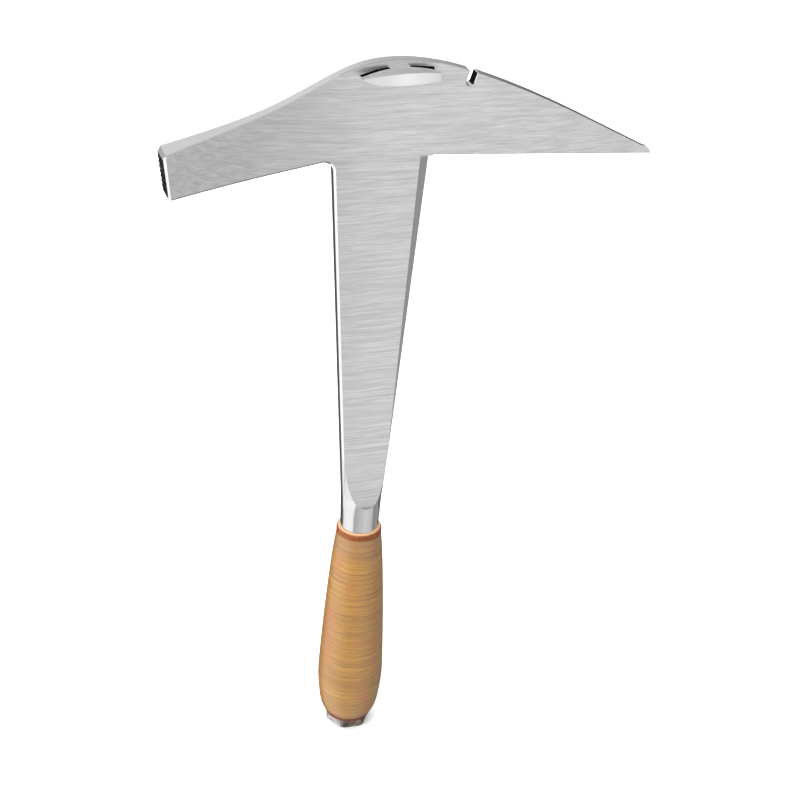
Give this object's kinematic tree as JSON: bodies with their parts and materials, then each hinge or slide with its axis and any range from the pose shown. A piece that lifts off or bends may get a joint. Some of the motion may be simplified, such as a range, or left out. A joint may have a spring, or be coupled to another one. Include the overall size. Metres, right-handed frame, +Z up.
{
  "type": "slater's roofing hammer",
  "caption": "Forged steel roofing hammer with a milled face, side nail claw, nail slot, pick, bevelled cutting shank and a stacked leather grip.",
  "frame": {"origin": "middle of the end nut's lower face, on the grip's axis", "axes": "+Z up the grip to the head, +X towards the pick, -X towards the striking face, -Y the side that the nail claw stands out on"},
  "size_m": [0.2233, 0.0318, 0.35],
  "materials": {
    "forged_steel": "belt-ground bright steel, polished at the neck",
    "orange_fibre": "vulcanised fibre, lacquered",
    "stacked_leather": "turned edge grain, waxed and lacquered",
    "red_fibre": "vulcanised fibre",
    "nut_steel": "bright steel"
  },
  "bodies": {
    "root": {"forged_head_and_shank": "forged_steel", "orange_fibre_ring": "orange_fibre", "leather_washer_01": "stacked_leather", "leather_washer_02": "stacked_leather", "leather_washer_03": "stacked_leather", "leather_washer_04": "stacked_leather", "leather_washer_05": "stacked_leather", "leather_washer_06": "stacked_leather", "leather_washer_07": "stacked_leather", "leather_washer_08": "stacked_leather", "leather_washer_09": "stacked_leather", "leather_washer_10": "stacked_leather", "leather_washer_11": "stacked_leather", "leather_washer_12": "stacked_leather", "leather_washer_13": "stacked_leather", "leather_washer_14": "stacked_leather", "leather_washer_15": "stacked_leather", "leather_washer_16": "stacked_leather", "leather_washer_17": "stacked_leather", "leather_washer_18": "stacked_leather", "leather_washer_19": "stacked_leather", "leather_washer_20": "stacked_leather", "leather_washer_21": "stacked_leather", "leather_washer_22": "stacked_leather", "leather_washer_23": "stacked_leather", "leather_washer_24": "stacked_leather", "leather_washer_25": "stacked_leather", "leather_washer_26": "stacked_leather", "leather_washer_27": "stacked_leather", "leather_washer_28": "stacked_leather", "leather_washer_29": "stacked_leather", "leather_washer_30": "stacked_leather", "leather_washer_31": "stacked_leather", "leather_washer_32": "stacked_leather", "leather_washer_33": "stacked_leather", "leather_washer_34": "stacked_leather", "leather_washer_35": "stacked_leather", "leather_washer_36": "stacked_leather", "red_fibre_washer": "red_fibre", "end_nut": "nut_steel"}
  },
  "joints": []
}
